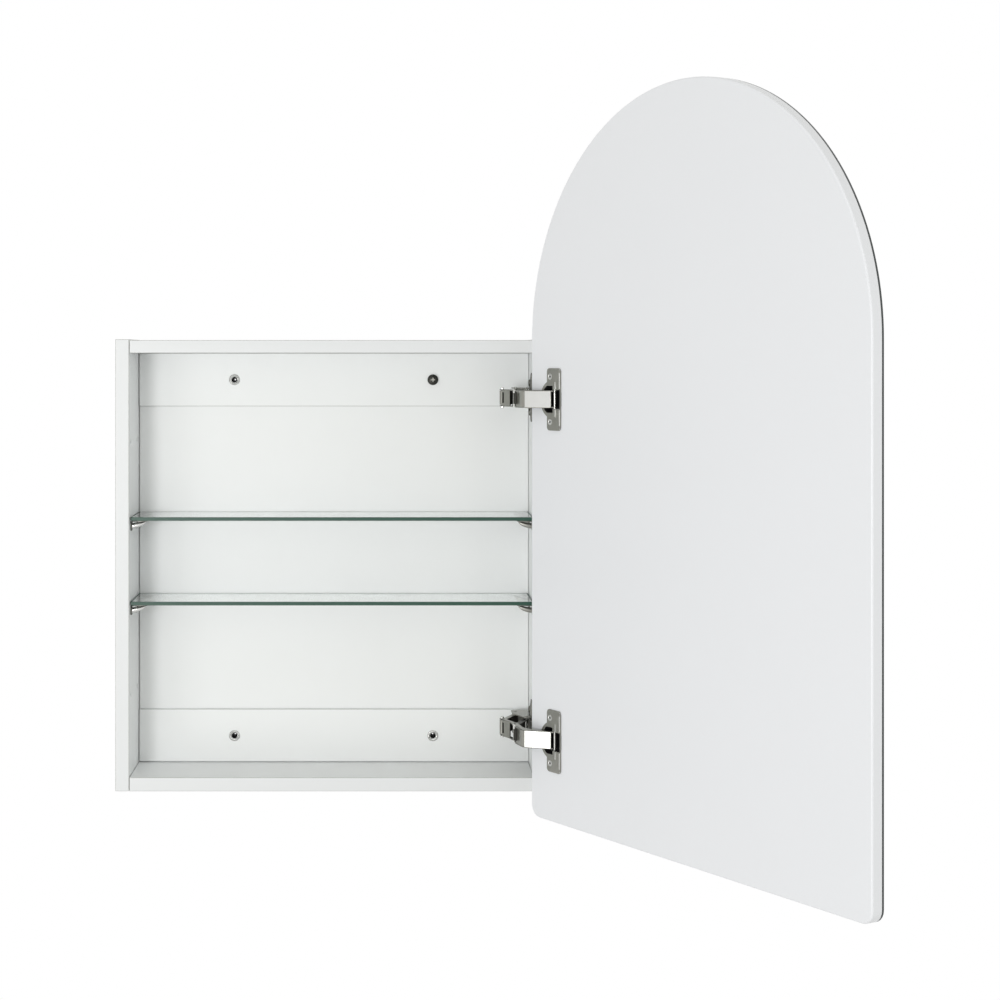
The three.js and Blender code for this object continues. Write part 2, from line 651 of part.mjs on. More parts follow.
// Hinge cup: a flange with two wings, a round lip and a cup with a slot-shaped mouth for the bow.
function hingeCup(name, z) {
  const bare = (points) => points.map(([x, y, r]) => [x, z + y, r]);
  const wings = outline(bare([
    [-cupRadius, -cupWingHalfHeight, 4], [cupWingNear, -cupWingHalfHeight, 4],
    [cupWingNear, cupWingHalfHeight, 4], [-cupRadius, cupWingHalfHeight, 4],
  ]));
  const lie = (shape, y0, y1, segments) => {
    const options = { depth: y1 - y0, bevelEnabled: false, curveSegments: segments };
    return solid(new THREE.ExtrudeGeometry(shape, options).rotateX(Math.PI / 2).translate(0, y1, 0));
  };
  const lipRadius = cupRadius + cupLip;
  const lip = rod("y", [0, 0, z], lipRadius, cupFlangeBack, cupFlangeFace, 32);
  const nearHalf = box([0, lipRadius], [cupFlangeBack, cupFlangeFace], [z - lipRadius, z + lipRadius]);
  const shell = rod("y", [0, 0, z], cupRadius, innerFace - cupDepth, cupFlangeBack + 0.5, 32);
  const floor = innerFace - cupDepth + cupWall;
  const mouthRound = rod("y", [0, 0, z], cupRadius - cupWall, floor, cupFlangeFace + 1, 32);
  const slot = ([x0, x1], y0, half) => box([x0, x1], [y0, cupFlangeFace + 1], [z - half, z + half]);
  const wideMouth = slot([-cupMouthStep, cupRadius], floor - 1, cupMouthWideHalfHeight);
  const narrowMouth = slot([-cupRadius, cupRadius], floor - 1, cupMouthHalfHeight);
  const flangeSlot = slot([-cupRadius - 1, cupRadius - cupWall], innerFace, cupMouthHalfHeight);
  const pinBore = rod("z", [0, 0, z], pinHole, -cupRadius, cupRadius);
  const [shank, head] = [cupScrewShank / 2 + cupScrewClearance, cupScrewHead / 2 + cupScrewClearance];
  const sink = [[0, -1], [shank, -1], [shank, cupHeadTop - head + shank], [head, cupHeadTop]];
  sink.push([0, cupHeadTop]);
  const holes = cupScrewPlaces(z).map((place) => turned("y", place, sink, 12));
  const plate = join(lie(wings, cupFlangeBack, cupFlangeFace, 2), lip.intersect(nearHalf), shell);
  const mouth = mouthRound.intersect(join(wideMouth, narrowMouth));
  const body = cut(plate, mouth, flangeSlot, pinBore, ...holes);
  door.add(mesh(name, body, nickel));
}

// A countersunk screw, almost flush with the cup's flange, with a round socket.
function cupScrew(name, place) {
  const head = cupScrewHead / 2;
  const shank = cupScrewShank / 2;
  const tip = 0.6 - cupScrewLength;
  const profile = [[0, tip], [shank, tip + shank], [shank, cupHeadTop - head + shank]];
  profile.push([head, cupHeadTop - 0.1], [head - 0.2, cupHeadTop], [0, cupHeadTop]);
  const socket = rod("y", place, cupScrewSocket / 2, cupHeadTop - 0.9, cupHeadTop + 1, 6);
  door.add(mesh(name, cut(turned("y", place, profile, 12), socket), brightNickel));
}

doorBoard();
door.add(mesh("mirror_glass", doorSlab(mirrorBack - mirrorThickness, mirrorBack), silveredGlass));
hingeHeights.forEach((z, i) => {
  const word = i ? "bottom" : "top";
  hingeCup(`hinge_${word}_cup`, z);
  const pinReach = cupMouthWideHalfHeight + cupPinSeat;
  const cupPin = rod("z", [0, 0, z], pinRadius, -pinReach, pinReach);
  door.add(mesh(`hinge_${word}_cup_pin`, cupPin, brightNickel));
  const [upper, lower] = cupScrewPlaces(z);
  cupScrew(`hinge_${word}_cup_screw_upper`, upper);
  cupScrew(`hinge_${word}_cup_screw_lower`, lower);
});

export default cabinet;
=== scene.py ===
"""Wall-hung medicine cabinet with an arched mirror door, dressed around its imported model.

Lengths are metres in the model's own frame; those written in millimetres are multiplied by MM.
"""

import json
import math

import bmesh
import bpy
from mathutils import Matrix, Vector


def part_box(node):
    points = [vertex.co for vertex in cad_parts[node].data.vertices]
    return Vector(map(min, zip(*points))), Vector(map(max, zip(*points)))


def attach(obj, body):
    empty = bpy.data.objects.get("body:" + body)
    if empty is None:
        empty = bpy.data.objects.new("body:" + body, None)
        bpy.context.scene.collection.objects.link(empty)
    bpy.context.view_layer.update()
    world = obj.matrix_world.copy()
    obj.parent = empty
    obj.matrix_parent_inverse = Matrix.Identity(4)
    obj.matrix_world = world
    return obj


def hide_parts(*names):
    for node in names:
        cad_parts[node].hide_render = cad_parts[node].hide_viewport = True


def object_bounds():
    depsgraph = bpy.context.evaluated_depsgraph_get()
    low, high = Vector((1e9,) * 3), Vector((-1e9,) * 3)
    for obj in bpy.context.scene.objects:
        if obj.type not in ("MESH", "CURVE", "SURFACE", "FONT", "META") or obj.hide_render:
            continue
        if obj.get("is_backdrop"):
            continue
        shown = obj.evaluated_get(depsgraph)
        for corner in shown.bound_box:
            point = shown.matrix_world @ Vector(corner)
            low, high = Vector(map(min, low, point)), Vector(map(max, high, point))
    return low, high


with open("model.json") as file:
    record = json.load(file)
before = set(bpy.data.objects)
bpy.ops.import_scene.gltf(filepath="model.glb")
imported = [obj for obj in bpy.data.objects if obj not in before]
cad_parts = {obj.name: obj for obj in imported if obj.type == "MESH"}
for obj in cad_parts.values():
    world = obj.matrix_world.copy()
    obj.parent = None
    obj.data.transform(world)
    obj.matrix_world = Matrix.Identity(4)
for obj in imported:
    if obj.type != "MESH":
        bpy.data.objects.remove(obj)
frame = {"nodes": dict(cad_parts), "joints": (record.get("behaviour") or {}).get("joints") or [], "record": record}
cad_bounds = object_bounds()
MM = 0.001
SLOT_OF = {row["node"]: row["material_slot"] for row in frame["record"]["subparts"]}
JOINT = {joint["name"]: joint for joint in frame["joints"]}
BODY_OF = {node: body for body, nodes in frame["record"]["behaviour"]["bodies"].items() for node in nodes}
HINGES = ("top", "bottom")
SIDES = {"left": -1, "right": 1}

# ---- camera, light and surroundings -----------------------------------------------------------

CAMERA_PLACE = (61.35 * MM, -2344 * MM, 27.9 * MM)
LENS, SENSOR = 74.23, 36
FRAMING_SHIFT = (0.112, -0.145)
FLOOR_LEVEL = -2.2
FLOOR_HALF_WIDTH = 6
WORLD_LEVEL = 0.657
WORLD_TINT = (1, 0.995, 0.93, 1)
LAMPS = {
    "key": {"place": (-0.78, -2.9, -0.2), "size": 0.62, "watts": 21.2},
    "low_left": {"place": (-1.75, -2.5, -1.3), "size": 1.3, "watts": 11.3},
    "right": {"place": (1.9, -2.2, 0.2), "size": 1.6, "watts": 6.4},
    "top": {"place": (-0.2, -1.6, 2.2), "size": 1.6, "watts": 2.5},
}


def camera():
    data = bpy.data.cameras.new("camera")
    data.lens, data.sensor_width = LENS, SENSOR
    data.shift_x, data.shift_y = FRAMING_SHIFT
    eye = bpy.data.objects.new("camera", data)
    eye.location = CAMERA_PLACE
    eye.rotation_euler = (math.radians(90), 0, 0)
    bpy.context.scene.collection.objects.link(eye)
    bpy.context.scene.camera = eye


def soft_lamp(name, place, size, watts):
    data = bpy.data.lights.new(name, "AREA")
    data.shape, data.size, data.energy = "DISK", size, watts
    lamp = bpy.data.objects.new(name, data)
    lamp.location = place
    middle = Vector((0, 0, sum(corner[2] for corner in cad_bounds) / 2))
    lamp.rotation_euler = (middle - Vector(place)).to_track_quat("-Z", "Y").to_euler()
    bpy.context.scene.collection.objects.link(lamp)


def seen_directly(tree):
    """A mask that is 1 for camera, glossy and transmission rays."""
    path = tree.nodes.new("ShaderNodeLightPath")
    total = path.outputs["Is Camera Ray"]
    for name in ("Is Glossy Ray", "Is Transmission Ray"):
        larger = tree.nodes.new("ShaderNodeMath")
        larger.operation = "MAXIMUM"
        tree.links.new(total, larger.inputs[0])
        tree.links.new(path.outputs[name], larger.inputs[1])
        total = larger.outputs[0]
    return total


def studio():
    world = bpy.data.worlds.new("studio")
    world.use_nodes = True
    tree = world.node_tree
    background = tree.nodes["Background"]
    level = tree.nodes.new("ShaderNodeMix")
    level.data_type = "RGBA"
    level.inputs["A"].default_value = [WORLD_LEVEL * channel for channel in WORLD_TINT]
    level.inputs["B"].default_value = (1, 1, 1, 1)
    tree.links.new(seen_directly(tree), level.inputs["Factor"])
    tree.links.new(level.outputs["Result"], background.inputs["Color"])
    bpy.context.scene.world = world
    for name, lamp in LAMPS.items():
        soft_lamp(name, **lamp)
    bpy.context.scene.view_settings.view_transform = "Standard"


def floor():
    bm = bmesh.new()
    bmesh.ops.create_grid(bm, x_segments=1, y_segments=1, size=FLOOR_HALF_WIDTH)
    bmesh.ops.translate(bm, vec=(0, 0, FLOOR_LEVEL), verts=bm.verts)
    slab = finished("floor", bm, [floor_paint()])
    slab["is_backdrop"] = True


def floor_paint():
    """White where it is seen directly, so that it joins the backdrop, and pale for the light it returns."""
    look = bpy.data.materials.new("floor_paint")
    look.use_nodes = True
    tree = look.node_tree
    shader = tree.nodes["Principled BSDF"]
    shader.inputs["Base Color"].default_value = (0.8, 0.8, 0.8, 1)
    shader.inputs["Roughness"].default_value = 0.9
    glow = tree.nodes.new("ShaderNodeEmission")
    mix = tree.nodes.new("ShaderNodeMixShader")
    tree.links.new(seen_directly(tree), mix.inputs["Fac"])
    tree.links.new(shader.outputs["BSDF"], mix.inputs[1])
    tree.links.new(glow.outputs["Emission"], mix.inputs[2])
    tree.links.new(mix.outputs["Shader"], tree.nodes["Material Output"].inputs["Surface"])
    return look


# ---- finishes ----------------------------------------------------------------------------------


def node_group(name, inputs, outputs):
    """An empty shader group with float or colour sockets, given as {name: default}."""
    group = bpy.data.node_groups.new(name, "ShaderNodeTree")
    for label, default in inputs.items():
        kind = "NodeSocketColor" if isinstance(default, tuple) else "NodeSocketFloat"
        socket = group.interface.new_socket(label, in_out="INPUT", socket_type=kind)
        socket.default_value = default
    for label, kind in outputs.items():
        group.interface.new_socket(label, in_out="OUTPUT", socket_type=kind)
    return group, group.nodes.new("NodeGroupInput"), group.nodes.new("NodeGroupOutput")


def mottle_group():
    """A tone that wanders a little over the surface, with a fine grain in its relief and its gloss."""
    inputs = {"Color": (0.8, 0.8, 0.8, 1), "Roughness": 0.4, "Tone": 0.03, "Gloss": 0.08}
    inputs |= {"Cloud": 9.0, "Grain": 900.0}
    outputs = {"Color": "NodeSocketColor", "Roughness": "NodeSocketFloat", "Height": "NodeSocketFloat"}
    group, given, result = node_group("mottle", inputs, outputs)
    nodes, links = group.nodes, group.links
    place = nodes.new("ShaderNodeTexCoord")
    cloud = nodes.new("ShaderNodeTexNoise")
    cloud.inputs["Detail"].default_value = 4
    grain = nodes.new("ShaderNodeTexNoise")
    grain.inputs["Detail"].default_value = 3
    for noise, scale in ((cloud, "Cloud"), (grain, "Grain")):
        links.new(place.outputs["Object"], noise.inputs["Vector"])
        links.new(given.outputs[scale], noise.inputs["Scale"])
    swing = nodes.new("ShaderNodeMath")
    swing.operation = "SUBTRACT"
    links.new(cloud.outputs["Fac"], swing.inputs[0])
    swing.inputs[1].default_value = 0.5
    value = nodes.new("ShaderNodeMath")
    value.operation = "MULTIPLY_ADD"
    links.new(swing.outputs[0], value.inputs[0])
    links.new(given.outputs["Tone"], value.inputs[1])
    value.inputs[2].default_value = 1
    tint = nodes.new("ShaderNodeHueSaturation")
    links.new(value.outputs[0], tint.inputs["Value"])
    links.new(given.outputs["Color"], tint.inputs["Color"])
    links.new(tint.outputs["Color"], result.inputs["Color"])
    gloss = nodes.new("ShaderNodeMath")
    gloss.operation = "MULTIPLY_ADD"
    links.new(grain.outputs["Fac"], gloss.inputs[0])
    links.new(given.outputs["Gloss"], gloss.inputs[1])
    links.new(given.outputs["Roughness"], gloss.inputs[2])
    links.new(gloss.outputs[0], result.inputs["Roughness"])
    links.new(grain.outputs["Fac"], result.inputs["Height"])
    return group


def finish(name, color, roughness, metallic=0.0, relief=0.0, coat=0.0, **mottle):
    """A painted, faced or plated finish: the mottle group with its own values; relief is in millimetres."""
    look = bpy.data.materials.new(name)
    look.use_nodes = True
    nodes, links = look.node_tree.nodes, look.node_tree.links
    shader = nodes["Principled BSDF"]
    shader.inputs["Metallic"].default_value = metallic
    shader.inputs["Coat Weight"].default_value = coat
    surface = nodes.new("ShaderNodeGroup")
    surface.node_tree = MOTTLE
    surface.inputs["Color"].default_value = (*color, 1)
    surface.inputs["Roughness"].default_value = roughness
    for label, value in mottle.items():
        surface.inputs[label].default_value = value
    links.new(surface.outputs["Color"], shader.inputs["Base Color"])
    links.new(surface.outputs["Roughness"], shader.inputs["Roughness"])
    if relief:
        bump = nodes.new("ShaderNodeBump")
        bump.inputs["Distance"].default_value = relief * MM
        links.new(surface.outputs["Height"], bump.inputs["Height"])
        links.new(bump.outputs["Normal"], shader.inputs["Normal"])
    return look


def clear_glass(name, color, roughness):
    look = bpy.data.materials.new(name)
    look.use_nodes = True
    shader = look.node_tree.nodes["Principled BSDF"]
    shader.inputs["Base Color"].default_value = (*color, 1)
    shader.inputs["Roughness"].default_value = roughness
    shader.inputs["Transmission Weight"].default_value = 1
    shader.inputs["IOR"].default_value = 1.52
    return look


MOTTLE = mottle_group()
LOOKS = {
    "melamine": finish("melamine", (0.834, 0.848, 0.852), 0.34, relief=0.02, Tone=0.02, Gloss=0.12),
    "door_lacquer": finish("door_lacquer", (0.802, 0.815, 0.858), 0.3, relief=0.015, Tone=0.015, Grain=420.0),
    "mirror": finish("mirror_silver", (0.92, 0.94, 0.94), 0.01, metallic=1, Tone=0.004, Gloss=0.01),
    "shelf_glass": clear_glass("shelf_glass", (0.95, 0.985, 0.97), 0.01),
    "nickel": finish("nickel", (0.31, 0.307, 0.278), 0.22, metallic=1, Tone=0.25, Gloss=0.2, Cloud=160.0),
    "bright_nickel": finish("bright_nickel", (0.4, 0.4, 0.375), 0.16, metallic=1, Tone=0.12, Cloud=160.0),
}
# Polished nickel for the parts that have it, and painted highlight on faces that should look brighter than their
# own finish.
POLISHED_NICKEL_AND_HIGHLIGHT = finish("polished_nickel_and_highlight", (0.62, 0.62, 0.6), 0.12, metallic=1, Tone=0.08, Cloud=160.0)
# A pale paint for the bar behind the bow link's window: a painted highlight.
BAR_PAINTED_HIGHLIGHT = finish("bar_painted_highlight", (0.86, 0.86, 0.84), 0.4, Tone=0.1, Cloud=160.0)
# Dark steel for the black wall screw, and painted shade on hinge parts deep inside the hinge.
DARK_STEEL_AND_SHADE = finish("dark_steel_and_shade", (0.045, 0.045, 0.04), 0.3, metallic=1, Tone=0.3, Gloss=0.2, Cloud=160.0)
# Grey steel for the mounting plates and their screws, and painted shade on the links' folds and on the shelf
# supports.
GREY_STEEL_AND_SHADE = finish("grey_steel_and_shade", (0.16, 0.16, 0.145), 0.28, metallic=1, Tone=0.3, Gloss=0.2, Cloud=160.0)
# A darker copy of the melamine for the boards' front faces: painted shade that evens out the extra light they get.
FRONT_FACE_PAINTED_SHADE = finish("front_face_painted_shade", (0.731, 0.746, 0.764), 0.36, relief=0.02, Tone=0.02)
# Painted shade for the boards' rounded rims and the seams between them.
RIM_PAINTED_SHADE = finish("board_rim_painted_shade", (0.5, 0.512, 0.5), 0.4, Tone=0.06, Cloud=40.0)
GLASS_EDGE = finish("glass_edge", (0.004, 0.052, 0.03), 0.35, Tone=0.25, Cloud=60.0)
MIRROR_EDGE = finish("mirror_edge", (0.012, 0.02, 0.018), 0.15, coat=0.5, Tone=0.2)
MIRROR_BACKING = finish("mirror_backing", (0.16, 0.17, 0.17), 0.6)
# Black for painted shade in the wall holes, the cup screws' sockets and the hinge cups' mouths.
PAINTED_SHADE_BLACK = finish("painted_shade_black", (0.012, 0.012, 0.012), 0.5)

# ---- making pieces ------------------------------------------------------------------------------

ROUND_STEPS = 40
CORNER_STEPS = 6


def moved(bm, matrix):
    bmesh.ops.transform(bm, matrix=matrix, verts=bm.verts)
    return bm


def block(low, high):
    """A box between two corners in metres."""
    low, high = Vector(low), Vector(high)
    bm = bmesh.new()
    bmesh.ops.create_cube(bm, size=1)
    bmesh.ops.scale(bm, vec=high - low, verts=bm.verts)
    bmesh.ops.translate(bm, vec=(low + high) / 2, verts=bm.verts)
    return bm


def turned(profile, steps=ROUND_STEPS):
    """A body of revolution about Z from [radius, height] points in millimetres, or a ring off the axis."""
    bm = bmesh.new()
    verts = [bm.verts.new((radius * MM, 0, height * MM)) for radius, height in profile]
    pairs = list(zip(verts, verts[1:]))
    if profile[0][0]:
        pairs.append((verts[-1], verts[0]))
    edges = [bm.edges.new(pair) for pair in pairs]
    whole_turn = {"cent": (0, 0, 0), "axis": (0, 0, 1), "angle": math.tau}
    bmesh.ops.spin(bm, geom=verts + edges, steps=steps, use_merge=True, **whole_turn)
    bmesh.ops.remove_doubles(bm, verts=bm.verts, dist=0.001 * MM)
    bmesh.ops.recalc_face_normals(bm, faces=bm.faces)
    return bm


def aimed(bm, axis, place):
    """Turns a shape's Z axis to another axis and moves its origin to a place."""
    turn = Vector((0, 0, 1)).rotation_difference(Vector(axis)).to_matrix().to_4x4()
    return moved(bm, Matrix.Translation(place) @ turn)


def plate(corners, low, high, steps=CORNER_STEPS):
    """A flat plate in millimetres between two heights; a corner may add a radius and steps to its [x, y]."""
    bm = bmesh.new()
    verts = [bm.verts.new((x * MM, y * MM, low * MM)) for x, y, *_ in corners]
    bm.faces.new(verts)
    for i, (x, y, *radius) in enumerate(corners):
        if radius:
            here = Vector((x, y))
            before, after = (Vector(corners[k][:2]) - here for k in (i - 1, (i + 1) % len(corners)))
            reach = radius[0] * MM / math.tan(before.angle(after) / 2)
            rounding = {"offset_type": "ABSOLUTE", "affect": "VERTICES", "profile": 0.5, "material": -1}
            rounding["segments"] = radius[1] if len(radius) > 1 else steps
            bmesh.ops.bevel(bm, geom=[verts[i]], offset=reach, **rounding)
    bmesh.ops.remove_doubles(bm, verts=bm.verts, dist=0.001 * MM)
    grown = bmesh.ops.extrude_face_region(bm, geom=bm.faces[:])["geom"]
    top = [item for item in grown if isinstance(item, bmesh.types.BMVert)]
    bmesh.ops.translate(bm, vec=(0, 0, (high - low) * MM), verts=top)
    bmesh.ops.recalc_face_normals(bm, faces=bm.faces)
    return bm


def combined(operation, bm, *tools):
    """The shape joined with, cut by or limited to each tool's shape."""
    things = []
    for source in (bm, *tools):
        data = bpy.data.meshes.new("scratch")
        source.to_mesh(data)
        source.free()
        thing = bpy.data.objects.new("scratch", data)
        bpy.context.scene.collection.objects.link(thing)
        things.append(thing)
    for tool in things[1:]:
        step = things[0].modifiers.new(operation, "BOOLEAN")
        step.operation, step.solver, step.object = operation, "EXACT", tool
    result = bmesh.new()
    result.from_object(things[0], bpy.context.evaluated_depsgraph_get())
    for thing in things:
        data = thing.data
        bpy.data.objects.remove(thing)
        bpy.data.meshes.remove(data)
    bmesh.ops.remove_doubles(result, verts=result.verts, dist=0.001 * MM)
    return result


def ease(bm, radius, segments=2, crease=30, where=lambda edge: True):
    """Rounds the edges that are sharper than the crease angle, by a radius in millimetres."""
    folded = [edge for edge in bm.edges if len(edge.link_faces) == 2]
    sharp = [edge for edge in folded if edge.calc_face_angle() > math.radians(crease) and where(edge)]
    rounding = {"affect": "EDGES", "profile": 0.5, "material": -1}
    bmesh.ops.bevel(bm, geom=sharp, offset=radius * MM, segments=segments, **rounding)
    return bm


def level(height):
    """A test for the edges that lie at a height in millimetres."""
    return lambda edge: all(abs(vert.co.z - height * MM) < 0.01 * MM for vert in edge.verts)


def painted(bm, index, chosen):
    """Gives the faces that pass a test another of the piece's finishes."""
    for face in bm.faces:
        if chosen(face):
            face.material_index = index
    return bm


def finished(name, bm, looks, body=None, replaces=(), crease=35):
    """Turns a bmesh into an object that shades smoothly up to the crease angle and rides on its body."""
    data = bpy.data.meshes.new(name)
    bm.to_mesh(data)
    bm.free()
    data.polygons.foreach_set("use_smooth", [True] * len(data.polygons))
    data.set_sharp_from_angle(angle=math.radians(crease))
    for look in looks:
        data.materials.append(look)
    piece = bpy.data.objects.new(name, data)
    bpy.context.scene.collection.objects.link(piece)
    even = piece.modifiers.new("even_shading", "WEIGHTED_NORMAL")
    even.keep_sharp = True
    if body:
        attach(piece, body)
    if replaces:
        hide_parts(*replaces)
    return piece


def stand_in(node, bm, *looks):
    """A finer piece in a CAD node's place, with the node's body and slot."""
    slot = SLOT_OF[node]
    looks = looks or (LOOKS[slot],)
    return finished(f"{node}_fine", bm, looks, body=BODY_OF[node], replaces=[node])


def copied(node):
    """The node's own shape, with its doubles merged and its flat faces whole."""
    bm = bmesh.new()
    bm.from_mesh(frame["nodes"][node].data)
    bmesh.ops.remove_doubles(bm, verts=bm.verts, dist=0.002 * MM)
    bmesh.ops.dissolve_limit(bm, angle_limit=math.radians(1), verts=bm.verts, edges=bm.edges)
    return bm


def span(node, place=Matrix()):
    """The lowest and highest corners of a node in the frame of a placing matrix, in millimetres."""
    back = place.inverted()
    points = [back @ vert.co for vert in frame["nodes"][node].data.vertices]
    low, high = ([pick(point[k] for point in points) / MM for k in range(3)] for pick in (min, max))
    return low, high


# ---- carcass ------------------------------------------------------------------------------------

BOARD_EASE = 0.6
PIN_HOLE = {"diameter": 5.4, "depth": 10}
WALL_HOLE_DIAMETER = 6.4
WALL_HOLE_DEPTH = 20
GROOVE_CLEARANCE = 0.3
BUTT_GAP = 0.3
ROOF_STEP = 0.9
SHADOW_GAP = {"left": 1.3, "right": 0.5}
RAIL_GAP_DEPTH = 4
PANEL_GAP_DEPTH = 2.2
inside_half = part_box("top_panel")[1].x
frame_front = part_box("top_panel")[0].y + MM


def board(node, low, high, *tools, radius=BOARD_EASE):
    """A board with eased edges, whose rounded rims are painted darker as painted shade, which also darkens the
    seams between boards.
    """
    bm = ease(block(low, high), radius, segments=1 if radius < BOARD_EASE else 2)
    if tools:
        bm = combined("DIFFERENCE", bm, *tools)

    def on_rim(face):
        centre = face.calc_center_median()
        near = [min(centre[k] - low[k], high[k] - centre[k]) < radius * MM * 0.9 for k in range(3)]
        return sum(near) > 1

    # Painted shade: the front faces take the darker copy of the melamine.
    painted(bm, 2, lambda face: face.normal.y < -0.9 and face.calc_center_median().y < frame_front)
    # Painted shade: the rounded rims take the darker rim colour.
    stand_in(node, painted(bm, 1, on_rim), LOOKS["melamine"], RIM_PAINTED_SHADE, FRONT_FACE_PAINTED_SHADE)


def groove():
    """The space that the back panel takes in the boards round it."""
    low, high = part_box("back_panel")
    loose = Vector((1, 1, 1)) * GROOVE_CLEARANCE * MM
    return block(low - loose, high + loose)


def shadow_gaps(low, high, depth):
    """Rebates at both ends of a board's front face, next to the side panels."""
    cuts = []
    for side, way in SIDES.items():
        ends = sorted((way * (inside_half - SHADOW_GAP[side] * MM), way * (high.x + MM)))
        cuts.append(block((ends[0], low.y - MM, low.z - MM), (ends[1], low.y + depth * MM, high.z + MM)))
    return cuts


def bore(diameter, depth, axis, place):
    """A drill that goes in along the axis from a place, as deep as given, and sticks out behind it."""
    radius = diameter / 2
    return aimed(turned([[0, -1], [radius, -1], [radius, depth], [0, depth]], 32), axis, place)


def pin_centre(level_name, side, row):
    """The middle of a support's collar, on the side panel's face; the collar is the lowest part of it."""
    low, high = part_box(f"shelf_support_{level_name}_{side}_{row}")
    height = low.z + SUPPORT_COLLAR / 2 * MM
    return Vector((SIDES[side] * inside_half, (low.y + high.y) / 2, height))


def pin_holes(side):
    """Four levels of shelf-pin holes in a front and a rear row; the middle two levels hold the shelves."""
    spots = []
    for row in ("front", "rear"):
        upper, lower = (pin_centre(name, side, row) for name in ("upper", "lower"))
        pitch = upper - lower
        spots += [lower - pitch, lower, upper, upper + pitch]
    return [bore(PIN_HOLE["diameter"], PIN_HOLE["depth"], (SIDES[side], 0, 0), spot) for spot in spots]


def plate_screw_place(word, end):
    low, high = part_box(f"hinge_{word}_plate_screw_{end}")
    return Vector((inside_half, (low.y + high.y) / 2, (low.z + high.z) / 2))


def carcass():
    for side in SIDES:
        tools = [groove(), *pin_holes(side)]
        if side == "right":
            places = [plate_screw_place(word, end) for word in HINGES for end in ("upper", "lower")]
            tools += [bore(PLATE_SCREW_SHANK + 0.6, PLATE_SCREW_DEPTH, (1, 0, 0), place) for place in places]
        board(f"side_panel_{side}", *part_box(f"side_panel_{side}"), *tools)
    for node, step in (("top_panel", ROOF_STEP), ("bottom_panel", 0)):
        low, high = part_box(node)
        board(node, low + Vector((BUTT_GAP, 0, 0)) * MM, high - Vector((BUTT_GAP, 0, step)) * MM)
    for node in ("top_rail", "bottom_rail"):
        low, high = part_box(node)
        height = (low.z + high.z) / 2
        tools = [groove(), *shadow_gaps(low, high, RAIL_GAP_DEPTH)]
        places = [(x, low.y, height) for x in (-wall_hole_x, wall_hole_x)]
        tools += [bore(WALL_HOLE_DIAMETER, WALL_HOLE_DEPTH, (0, 1, 0), place) for place in places]
        if node == "bottom_rail":
            foot = (high.x + MM, low.y + RAIL_GAP_DEPTH * MM, low.z + SHADOW_GAP["left"] * MM)
            tools.append(block((low.x - MM, low.y - MM, low.z - MM), foot))
        board(node, low, high, *tools)
    low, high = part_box("back_panel")
    board("back_panel", low, high, *shadow_gaps(low, high, PANEL_GAP_DEPTH), radius=0.3)


# ---- wall fixings -------------------------------------------------------------------------------

SHADE_TUBE_FRONT = 3.15
SHADE_TUBE_REAR = 0.8
SHADE_TUBE_END = 14
wall_hole_x = (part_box("wall_screw")[0].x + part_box("wall_screw")[1].x) / 2


def ferrule(node):
    """A domed metal ring with a black tube behind it, painted shade in the hole, whose bore narrows towards the
    wall.
    """
    low, high = span(node)
    middle = Vector([(a + b) / 2 for a, b in zip(low, high)])
    middle.y = high[1]
    rim, height = (high[0] - low[0]) / 2, high[1] - low[1]
    bore_edge = WALL_HOLE_DIAMETER / 2 + 0.3
    ring = [[bore_edge, 0], [rim, 0], [rim, height * 0.3], [rim - 0.3, height * 0.62]]
    ring += [[rim - 0.9, height * 0.92], [rim - 1.4, height]]
    ring += [[bore_edge + 0.6, height * 0.8], [bore_edge, height * 0.4]]
    tube = WALL_HOLE_DIAMETER / 2 - 0.05
    shade_tube = [[tube, 0.3], [SHADE_TUBE_FRONT, 0.3], [SHADE_TUBE_REAR, -SHADE_TUBE_END], [tube, -SHADE_TUBE_END]]
    # Painted shade: the tube in the hole is black all over.
    bm = joined(turned(ring), painted(turned(shade_tube), 1, lambda face: True))
    stand_in(node, aimed(bm, (0, -1, 0), middle * MM), POLISHED_NICKEL_AND_HIGHLIGHT, PAINTED_SHADE_BLACK)


def joined(bm, *others):
    """One mesh of several bodies that stay apart, each with its own finish numbers."""
    for other in others:
        data = bpy.data.meshes.new("scratch")
        other.to_mesh(data)
        other.free()
        bm.from_mesh(data)
        bpy.data.meshes.remove(data)
    return bm


def cross_recess(width, reach, top, depth):
    """A tapered cross to cut in a screw's head."""
    blades = []
    for along, across in ((reach, width), (width, reach)):
        corners = [[-along, -across], [along, -across], [along, across], [-along, across]]
        blade = plate(corners, top - depth, top + 1)
        for vert in blade.verts:
            if vert.co.z < top * MM:
                vert.co.xy *= 0.6
        blades.append(blade)
    return combined("UNION", *blades)


def wall_screw():
    """A black pan-head screw on the ferrule, whose cross recess is painted in nickel as a painted highlight."""
    low, high = span("wall_screw")
    radius = (high[0] - low[0]) / 2 + 0.4
    shank = 2.2
    top = -low[1]
    seat = top - 2.6
    tip = -high[1]
    profile = [[0, tip], [shank, tip + shank], [shank, seat], [radius, seat], [radius, seat + 0.7]]
    profile += [[radius - 0.3, seat + 1.3], [radius - 1, seat + 1.8], [radius - 2.2, seat + 2.25]]
    profile += [[radius - 3.7, seat + 2.5], [radius - 5, top], [0, top]]
    bm = combined("DIFFERENCE", turned(profile, 48), cross_recess(0.9, 3.2, top, 1.8))
    recess = [top - 1.9, top - 0.3]
    # Painted highlight: the recess is nickel on the black screw.
    painted(bm, 1, lambda face: face.calc_center_median().xy.length < 3.3 * MM
            and recess[0] * MM < face.calc_center_median().z < recess[1] * MM)
    place = Vector((wall_hole_x, 0, (low[2] + high[2]) / 2 * MM))
    stand_in("wall_screw", aimed(bm, (0, -1, 0), place), DARK_STEEL_AND_SHADE, LOOKS["nickel"])


